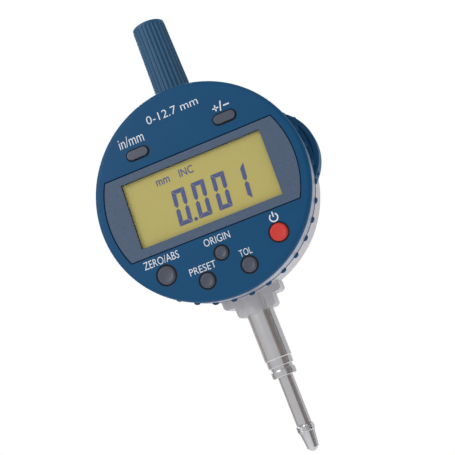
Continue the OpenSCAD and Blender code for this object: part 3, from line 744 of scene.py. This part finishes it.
# %% A word that fills a box
print_t = 0.03


def lettering(name, words, left, right, base, top, y0, bold):
    """Words that fill a box on the upright face; bold grows or thins the strokes"""
    begin()
    bpy.ops.object.text_add()
    text = bpy.context.object
    text.data.body = words
    text.data.offset = bold
    text.data.extrude = 0.5
    text.data.resolution_u = 4
    bpy.ops.object.convert(target="MESH")
    piece = added(name)
    xs = [vertex.co.x for vertex in piece.data.vertices]
    ys = [vertex.co.y for vertex in piece.data.vertices]
    stretch = Matrix.Diagonal(((right - left) / (max(xs) - min(xs)),
                               (top - base) / (max(ys) - min(ys)), print_t, 1))
    stand = Matrix.Rotation(radians(90), 4, "X")
    corner = Matrix.Translation((-min(xs), -min(ys), 0))
    piece.data.transform(Matrix.Translation((left, y0, base)) @ stand @ stretch @ corner)
    select(piece, "verts", lambda v: True)
    seal(0.0005)
    return piece


print("lettering ready")

# %% [markdown]
# Each word has the box that it fills: left, right, base and top, from the middle of the face.
# The last one is the measuring range. The sign and the power mark need even strokes that a
# font doesn't have, so they are drawn from bars and from a ring with a gap.

# %% Print the key names and the two marks
labels = [("in/mm", -17.85, -10.25, 19.35, 22.5), ("ZERO/ABS", -22.1, -11.5, -15.6, -13.4),
          ("ORIGIN", -3.85, 3.8, -15.6, -13.55), ("PRESET", -10.3, -2.5, -21.75, -19.75),
          ("TOL", 4.55, 8.1, -21.7, -19.8), ("0-12.7 mm", -7.95, 7.8, 23.1, 25.5)]
sunk = 0.002
prints = [lettering("word", text, left, right, base, top, face_y - print_t / 2 + sunk, -0.006)
          for text, left, right, base, top in labels]
sign_x, sign_z, sign_w, stroke_w = 11.85, 19.9, 1.8, 0.38
slash_x, slash_z, slash_lean, slash_h = 12.85, 18.65, 0.72, 2.8
marks = [
    box_outline(sign_x, sign_z, sign_w, stroke_w),
    box_outline(sign_x, sign_z, stroke_w, sign_w),
    [(slash_x, slash_z), (slash_x + stroke_w, slash_z),
     (slash_x + slash_lean + stroke_w, slash_z + slash_h), (slash_x + slash_lean, slash_z + slash_h)],
    box_outline(sign_x + 3.2, sign_z - 0.1, sign_w - 0.05, stroke_w)]
power_x, power_z, power_r, power_w = 16.72, -14.8, 1.3, 0.36
marks.append(arc(power_x, power_z, power_r, 125, 415, 36) +
             arc(power_x, power_z, power_r - power_w, 415, 125, 36))
marks.append(box_outline(power_x, power_z + 0.9, power_w, 1.5))
prints += [plate("mark", outline, face_y - print_t, face_y + sunk) for outline in marks]
settle(joined("White_key_names", prints), head_place, "head", print_white)

# %% Two small words on the display
ink_mid = (ink_y0 + ink_y1) / 2
small_words = [lettering("unit word", "mm", -11.4, -7.35, 5.65, 7.35, ink_mid, 0.008),
               lettering("mode word", "INC", -4.3, -0.05, 5.65, 7.95, ink_mid, 0.008)]
annunciators = joined("Display_unit_and_mode", small_words)
settle(annunciators, head_place, "head", segment_ink)

# %% [markdown]
# ## The keys
# Each key is a short plug with a flange that keeps it in. A round key is turned: its top is
# slightly dished, and a chamfer leads to its side.

# %% Round keys
flange_y0 = plate_y + 0.05
flange_y1 = flange_y0 + 0.5
key_top = span("button_zero")[0].y
round_names, long_names = key_names[2:], key_names[:2]


def round_key(name, slot):
    """A turned key with a slightly dished top, a chamfer and a flange"""
    x, z, width, height = keys[name]
    r, chamfer = width / 2, 0.42
    flat_r, flange_r = r - chamfer, r + flange_over / 2
    profile = [(0, key_top + 0.12), (r * 0.45, key_top + 0.1), (flat_r - 0.35, key_top + 0.05),
               (flat_r - 0.12, key_top), (flat_r + 0.02, key_top + 0.05),
               (r - 0.08, key_top + chamfer - 0.06), (r, key_top + chamfer + 0.06),
               (r, flange_y0), (flange_r, flange_y0), (flange_r, flange_y1), (0, flange_y1)]
    key = turned("Key_" + name, profile, steps=72)
    move = head_place @ Matrix.Translation((x, 0, z))
    settle(key, move, "key_" + name, finishes[slot], ["button_" + name], 50)


for name in round_names:
    round_key(name, "key_red" if name == "power" else "key_grey")

# %% [markdown]
# The two long keys are cut from an outline with round ends. The front face is pulled out and
# made smaller for the chamfer, the edges are softened, and the flange is joined on.

# %% Long keys
slope, narrower = 0.3, 0.66
for name in long_names:
    x, z, width, height = keys[name]
    key = plate("Key_" + name, slot_outline(x, z, width, height), key_top + slope, flange_y0)
    select(key, "faces", lambda f: f.normal.y < -0.9)
    bpy.ops.mesh.extrude_region_move(TRANSFORM_OT_translate={"value": (0, -slope, 0)})
    bpy.ops.mesh.inset(thickness=0.001)
    shrink = ((width - narrower) / width, 1, (height - narrower) / height)
    bpy.ops.transform.resize(value=shrink, center_override=(x, key_top, z))
    bpy.ops.object.mode_set(mode="OBJECT")
    soften(key, 0.1, 30)
    rim = slot_outline(x, z, width + flange_over, height + flange_over)
    cut(key, plate("flange", rim, flange_y0 - 0.02, flange_y1), "UNION")
    settle(key, head_place, "key_" + name, key_grey, ["button_" + name], 40)

# %% [markdown]
# ## Painted shade round the keys
# The hole of each key is lined with a thin ring in the black rubber finish. The ring is painted
# shade for the deep dark gap round the key. It is a plate with the same outline, made smaller, cut
# out of it.

# %% Line the key holes with painted shade
outer, inner = 2 * (key_gap + 0.13), 0.24
gap_shade_rings = []
for x, z, width, height in keys.values():
    gap_shade_ring = plate("gap_shade_ring", slot_outline(x, z, width + outer, height + outer), face_y + 0.12,
                   flange_y0 - 0.1)
    opened(gap_shade_ring, slot_outline(x, z, width + inner, height + inner))
    gap_shade_rings.append(gap_shade_ring)
# The black rings are painted shade for the dark gaps round the keys.
settle(joined("Key_gaps_painted_shade", gap_shade_rings), head_place, "head", black_rubber)

# %% [markdown]
# ## The metal band
# Behind the cover is a smooth metal band. It is a ring with rounded edges, so its profile is
# a closed line with an arc at each outer corner.

# %% Turn the band
band_r, band_edge = (band_high.x - band_low.x) / 2, 0.28
seat_r = span("head_back")[1].x + 0.1
band_in = face_r - 2
band = turned("Head_band", [(band_in, band_y0)] +
              arc(band_r - band_edge, band_y0 + band_edge, band_edge, -90, 0, 6) +
              arc(band_r - band_edge, band_y1 - band_edge, band_edge, 0, 90, 6) +
              [(seat_r, band_y1), (seat_r, band_y1 - 1.1), (band_in, band_y1 - 1.7),
               (band_in, band_y0)], steps=192)
settle(band, head_place, "head", band_metal, ["head_band"], 45)

# %% [markdown]
# ## The grip ring
# A thin ring with 36 small oval nubs lets fingers turn the head. One nub is a sphere squashed
# to an oval mound with its inner half cut away, and the others are copies turned round the
# ring. The nubs are joined to a turned ring, which is one moulding on the real indicator.

# %% Make one nub
ring_low, ring_high = span("grip_ring")
nub_count, nub_l, nub_w, nub_proud = 36, 1.9, ring_high.y - ring_low.y, 0.6
nub_in = 0.02
begin()
bpy.ops.mesh.primitive_uv_sphere_add(segments=20, ring_count=12, radius=1,
                                     location=(face_r - nub_in, 0, 0),
                                     scale=(nub_proud + nub_in, nub_w / 2, nub_l / 2))
nub = added("nub")
select(nub, "verts", lambda v: True)
bpy.ops.mesh.bisect(plane_co=(face_r - 0.15, 0, 0), plane_no=(-1, 0, 0), use_fill=True,
                    clear_outer=True)
bpy.ops.object.mode_set(mode="OBJECT")
print(f"a nub is {nub_l:.1f} mm long and {nub_w:.1f} mm wide")

# %% Copy it round the ring
ring_y = (ring_low.y + ring_high.y) / 2
nubs = []
for i in range(nub_count):
    activate(nub)
    bpy.ops.object.duplicate()
    turn = Matrix.Rotation(radians((i + 0.5) * 360 / nub_count), 4, "Y")
    bpy.context.object.data.transform(Matrix.Translation((0, ring_y, 0)) @ turn)
    nubs.append(bpy.context.object)
bpy.data.objects.remove(nub)
ring_w, ring_edge = 0.4, 0.1
ring_y0, ring_y1 = ring_y - ring_w / 2, ring_y + ring_w / 2
base_ring = turned("ring", [(seat_r, ring_y0)] +
                   arc(face_r - ring_edge, ring_y0 + ring_edge, ring_edge, -90, 0, 3) +
                   arc(face_r - ring_edge, ring_y1 - ring_edge, ring_edge, 0, 90, 3) +
                   [(seat_r, ring_y1), (seat_r, ring_y0)], steps=192)
grip = joined("Grip_ring", [base_ring] + nubs)
settle(grip, head_place, "head", blue_plastic, ["grip_ring"], 50)

# %% [markdown]
# ## The case and its back
# The case is a die-casting with a foot that carries the stem. Its inner posts and slots come
# from the working model, so it is a merged copy of that mesh. Castings have no sharp edges,
# so every edge is rounded a little. The round back cover is finished in the same way.

# %% Round the edges of the case and its back
for node, name, width, slot in (("housing", "Rear_housing", 0.06, "case_metal"),
                                ("back_cover", "Back_cover", 0.12, "back_steel")):
    shell = copy_of(node, name)
    soften(shell, width, 50)
    heal(shell)
    settle(shell, in_place, "case", finishes[slot], [node], 40)

# %% [markdown]
# ## The battery tray
# The tray slides in from the side and ends in a round ear that a fingernail pulls. Corners
# that stand out of the ear's round are cut off, and only its two outer rim edges get a round,
# because the thin walls inside have no room for one.

# %% Trim and round the tray's ear
tray = copy_of("battery_tray", "Battery_tray")
cell_at = middle("coin_cell")
ear_r = span("battery_tray")[1].x - cell_at.x
outside = (arc(cell_at.x, cell_at.z, ear_r + 0.01, -60, 60, 80) +
           arc(cell_at.x, cell_at.z, ear_r + 8, 60, -60, 6))
cut(tray, plate("corners", outside, face_y, 0))


def on_rim(edge):
    """Is an edge on the outer round of the tray's ear, at its front or its back?"""
    first, second = (vertex.co - cell_at for vertex in edge.verts)
    far = min(hypot(first.x, first.z), hypot(second.x, second.z))
    return far > ear_r - 0.03 and abs(first.y - second.y) < 0.01


rim_round = 0.35
select(tray, "edges", on_rim)
bpy.ops.mesh.bevel(offset=rim_round, segments=3)
bpy.ops.object.mode_set(mode="OBJECT")
settle(tray, in_place, "tray", blue_plastic, ["battery_tray"], 30)

# %% [markdown]
# ## The fluted cap
# The cap over the spindle's top is a tapered tube with fine flutes for the fingers. It starts
# as a cylinder with many sides. Its top is pulled in for the taper, two cuts mark where the
# flutes end, and then the vertices of each groove are drawn towards the axis.

# %% Taper the cap and mark the end of the flutes
cap_low, cap_high = span("top_cap")
cap_r0, cap_r1 = (cap_high.x - cap_low.x) / 2, 5.1
cap_l = cap_high.z - cap_low.z
flutes, flute_sides = 26, 12
begin()
bpy.ops.mesh.primitive_cylinder_add(vertices=flutes * flute_sides, radius=cap_r0, depth=cap_l,
                                    location=(0, 0, (cap_low.z + cap_high.z) / 2))
cap = added("Fluted_cap")
select(cap, "verts", lambda v: v.co.z > cap_high.z - 0.1)
taper = cap_r1 / cap_r0
bpy.ops.transform.resize(value=(taper, taper, 1), center_override=(0, 0, cap_high.z))
flute_end = cap_high.z - 1.2
for height in (flute_end, flute_end + 0.35):
    select(cap, "verts", lambda v: True)
    bpy.ops.mesh.bisect(plane_co=(0, 0, height), plane_no=(0, 0, 1))
print(f"the cap tapers from {2 * cap_r0:.1f} to {2 * cap_r1:.1f} mm over {cap_l:.1f} mm")

# %% [markdown]
# A flute's section is half an ellipse, so each vertex goes in by the depth times the root of
# one less the square of how far it stands from the groove's middle. The ridges keep their
# radius. The bore is the bottom face inset and pushed up.

# %% Press the flutes and hollow the cap
flute_depth, flute_half = 0.32, 0.4


def groove(vertex, step):
    """Is a vertex this many sides from the middle of a groove, on the fluted length?"""
    side = round(atan2(vertex.co.y, vertex.co.x) / (2 * pi) * flutes * flute_sides)
    off = min(side % flute_sides, -side % flute_sides)
    return off == step and vertex.co.z < flute_end + 0.1


flute_steps = flute_half * flute_sides
for step in range(round(flute_steps)):
    inward = 1 - flute_depth / cap_r0 * sqrt(1 - (step / flute_steps) ** 2)
    select(cap, "verts", lambda v, step=step: groove(v, step))
    bpy.ops.transform.resize(value=(inward, inward, 1), center_override=(0, 0, 0))
bore_r, roof = 4.1, 1.4
select(cap, "faces", lambda f: f.normal.z < -0.9)
bpy.ops.mesh.inset(thickness=cap_r0 - bore_r - flute_depth)
bpy.ops.mesh.extrude_region_move(TRANSFORM_OT_translate={"value": (0, 0, cap_l - roof)})
bpy.ops.object.mode_set(mode="OBJECT")
soften(cap, 0.05, 60)
settle(cap, in_place, "cap", cap_plastic_painted_sheen, ["top_cap"], 40)

# %% [markdown]
# ## The stem and its nose
# These are ground steel. Each is turned from its own profile with small chamfers, because a
# thin bright line at each step is what makes round metal look machined.

# %% Turn the stem
stem_low, stem_high = span("stem")
spindle_low, spindle_high = span("spindle")
stem_r, foot_z = 4.0, 7.1
shank_r = (stem_high.x - stem_low.x) / 2
sleeve_r, step_h, step_r = 3.0, 2.2, stem_r - 0.25
stem_z0 = stem_low.z + step_h
stem = turned("Stem", [
    (sleeve_r, stem_low.z), (step_r - 0.15, stem_low.z), (step_r, stem_low.z + 0.15),
    (step_r, stem_z0 - 0.12), (step_r - 0.1, stem_z0 - 0.1), (step_r - 0.1, stem_z0),
    (stem_r - 0.2, stem_z0), (stem_r, stem_z0 + 0.2), (stem_r, foot_z), (shank_r, foot_z),
    (shank_r, stem_high.z), (sleeve_r, stem_high.z), (sleeve_r, stem_low.z)], "Z")
settle(stem, in_place, "case", stem_steel, ["stem"], 30)

# %% Turn the nose
nose_low, nose_high = span("stem_nose")
spindle_r = (spindle_high.x - spindle_low.x) / 2
run = spindle_r + 0.03
collar_r, neck_r = stem_r - 0.4, stem_r - 0.8
collar_z0, collar_z1 = nose_low.z, nose_low.z + 2.1
neck_z, sleeve_in = stem_low.z - 0.02, sleeve_r - 0.02
nose = turned("Stem_nose", [
    (run + 0.25, collar_z0), (collar_r - 0.35, collar_z0), (collar_r - 0.12, collar_z0 + 0.12),
    (collar_r, collar_z0 + 0.35), (collar_r, collar_z1 - 0.4), (collar_r - 0.1, collar_z1 - 0.15),
    (collar_r - 0.35, collar_z1), (neck_r, collar_z1), (neck_r, neck_z), (sleeve_in, neck_z),
    (sleeve_in, nose_high.z), (run, nose_high.z), (run, collar_z0 + 0.25),
    (run + 0.25, collar_z0)], "Z")
settle(nose, in_place, "case", stem_steel, ["stem_nose"], 30)

# %% [markdown]
# ## The spindle
# The spindle is the hardened rod that moves. It is bored at its lower end for the thread of
# the contact point, and its ends have small chamfers.

# %% Turn the spindle
hole_r, hole_top = 1.25, spindle_low.z + 7
rod = turned("Spindle", [
    (0, hole_top), (hole_r, hole_top), (hole_r, spindle_low.z), (spindle_r - 0.15, spindle_low.z),
    (spindle_r, spindle_low.z + 0.15), (spindle_r, spindle_high.z - 0.5),
    (spindle_r - 0.5, spindle_high.z), (0, spindle_high.z)], "Z", 96)
settle(rod, in_place, "spindle", spindle_steel, ["spindle"], 30)

# %% [markdown]
# ## The contact point
# The screw-in point has a knurled band to grip and a cone down to its ball. The cone has a
# small lip that holds the ball, and its thread is a plain pin.

# %% Turn the cone
ball_low, ball_high = span("contact_ball")
ball_r = (ball_high.x - ball_low.x) / 2
ball_z = (ball_low.z + ball_high.z) / 2
point_top = spindle_low.z - 0.05
knurl_h, knurl_r = 2.3, spindle_r + 0.11
knurl_z0 = spindle_low.z - knurl_h
pin_r, pin_top = hole_r - 0.02, point_top + 6
seat_z = ball_z - sqrt(ball_r ** 2 - (ball_r - 0.25) ** 2)
cone = turned("Contact_point", [
    (0, ball_z + ball_r - 0.4), (ball_r * 0.7, ball_z + ball_r * 0.72), (ball_r + 0.02, ball_z),
    (ball_r - 0.02, seat_z + 0.35), (ball_r + 0.08, seat_z + 0.3), (ball_r + 0.17, seat_z + 0.45),
    (spindle_r, knurl_z0 - 0.1), (spindle_r, knurl_z0), (knurl_r, knurl_z0),
    (knurl_r, point_top), (pin_r, point_top), (pin_r, pin_top), (0, pin_top)], "Z", 96)
print(f"the ball is {2 * ball_r:.1f} mm, and its seat is at {seat_z:.1f} mm")

# %% [markdown]
# A knurl is a grid of small pyramids. A cylinder is cut into rings, and every second vertex,
# like the fields of a chessboard, is pulled outwards, so the faces between fold into diamonds.

# %% Knurl the band
knurl_sides, knurl_rows, knurl_margin = 40, 6, 0.1
grid_h, grid_z0 = knurl_h - 2 * knurl_margin, knurl_z0 + knurl_margin
begin()
bpy.ops.mesh.primitive_cylinder_add(vertices=knurl_sides, radius=knurl_r, depth=grid_h,
                                    location=(0, 0, knurl_z0 + knurl_h / 2))
knurl = added("knurl")
for row in range(1, knurl_rows):
    select(knurl, "verts", lambda v: True)
    bpy.ops.mesh.bisect(plane_co=(0, 0, grid_z0 + row * grid_h / knurl_rows), plane_no=(0, 0, 1))


def chessboard(vertex):
    """Is a vertex on a dark field of the knurl's grid?"""
    side = round(atan2(vertex.co.y, vertex.co.x) / (2 * pi) * knurl_sides)
    row = round((vertex.co.z - grid_z0) / grid_h * knurl_rows)
    return 0 < row < knurl_rows and (side + row) % 2 == 0


select(knurl, "verts", chessboard)
proud = (spindle_r + 0.35) / knurl_r
bpy.ops.transform.resize(value=(proud, proud, 1), center_override=(0, 0, 0))
bpy.ops.object.mode_set(mode="OBJECT")
cut(cone, knurl, "UNION")
settle(cone, in_place, "spindle", spindle_steel, ["contact_point"], 25)

# %% [markdown]
# ## Light
# A tool is shown best in a bright tent. The world is an even soft white that lights the tool
# with only part of the strength it has as a background, so that the shapes keep some shade.
# The key lamp stands high to the left, a side lamp lights the case, and a back lamp lights it
# from behind. Steel would mirror the side lamp as a glare, so reflections leave it out.

# %% Set the world and the lamps
scene = bpy.context.scene
scene.view_settings.view_transform = "Standard"
world = bpy.data.worlds.new("Soft tent")
scene.world = world
world.use_nodes = True
sky = world.node_tree.nodes["Background"]
ray = world.node_tree.nodes.new("ShaderNodeLightPath")
level = world.node_tree.nodes.new("ShaderNodeMapRange")
level.inputs["To Min"].default_value = 0.6
level.inputs["To Max"].default_value = 1.0
world.node_tree.links.new(ray.outputs["Is Camera Ray"], level.inputs["Value"])
world.node_tree.links.new(level.outputs["Result"], sky.inputs["Strength"])
sky.inputs["Color"].default_value = (1.0, 1.0, 1.0, 1.0)
target = Vector((0.00147, -0.00725, face_z * MM - 0.01075))


def soft_lamp(name, place, power, size, mirrored=True):
    """A square lamp aimed at the object, which polished metal may mirror or not"""
    bpy.ops.object.light_add(type="AREA", location=place)
    lamp = bpy.context.object
    lamp.name = name
    lamp.data.energy = power
    lamp.data.size = size
    lamp.visible_glossy = mirrored
    lamp.rotation_euler = (target - lamp.location).to_track_quat("-Z", "Y").to_euler()


begin()
soft_lamp("Key lamp", (-0.55, -0.75, 0.55), 4.5, 0.6)
soft_lamp("Side lamp", (0.6, 0.55, 0.3), 4, 0.4, False)
soft_lamp("Back lamp", (-0.3, 0.8, 0.6), 6, 0.5)
print("lamps aimed at", [round(v, 4) for v in target])

# %% [markdown]
# ## Floor and cards
# The floor is a pale sheet below the tool. Polished metal shows only what stands round it, so
# three upright cards give the steel its stripes: a warm grey one and a narrow dark one on the
# right, and a light one on the left. The camera doesn't see them, and they cast no shade.

# %% Lay the floor and stand up the cards
def stage_sheet(name, size, place, colour, seen):
    """A flat sheet of the studio, slightly cloudy like paper"""
    begin()
    bpy.ops.mesh.primitive_plane_add(size=1, location=place)
    sheet = bpy.context.object
    sheet.name = name
    sheet.scale = (size[0], size[1], 1)
    finish = Finish(name)
    cloud = finish.noise((0.01, 0.01, 0.01), 2.0)
    paper = finish.blend(cloud, shaded(colour, 0.97), colour)
    sheet.data.materials.append(finish.done(Base_Color=paper, Roughness=0.9,
                                            Specular_IOR_Level=0.1))
    sheet.visible_camera = sheet.visible_diffuse = sheet.visible_shadow = seen
    return sheet


stage_sheet("Floor", (3, 3), (0, 0, -0.34), tone(240, 240, 241), True)
card_away, card_height, card_z = 0.5, 0.9, 0.08
for name, turn, width, grey in (("Warm_card", 58, 0.44, 118), ("Dark_card", 92, 0.09, 8),
                                ("Left_card", -105, 0.3, 170)):
    place = (card_away * sin(radians(turn)), -card_away * cos(radians(turn)), card_z)
    warm_grey = tone(grey, grey * 0.96, grey * 0.9)
    card = stage_sheet(name, (width, card_height), place, warm_grey, False)
    card.rotation_euler = (radians(90), 0, radians(turn))
    print(f"{name} at {turn} degrees")

# %% [markdown]
# ## Camera
# The camera stands near, a little to the right of the face and below it, and is rolled so
# that the tool leans over. A fairly long lens keeps the round face round.

# %% Aim the camera
camera_data = bpy.data.cameras.new("Camera")
camera = bpy.data.objects.new("Camera", camera_data)
scene.collection.objects.link(camera)
distance, azimuth, elevation, roll = 0.24, radians(10.29), radians(-10.97), radians(21.48)
camera.location = target + distance * Vector((
    sin(azimuth) * cos(elevation), -cos(azimuth) * cos(elevation), sin(elevation)))
look = (target - camera.location).to_track_quat("-Z", "Y").to_matrix().to_4x4()
camera.rotation_euler = (look @ Matrix.Rotation(-roll, 4, "Z")).to_euler()
camera_data.lens = 66.45
camera_data.sensor_width = 36
camera_data.clip_start = 0.01
scene.camera = camera
print("camera at", [round(v, 4) for v in camera.location])
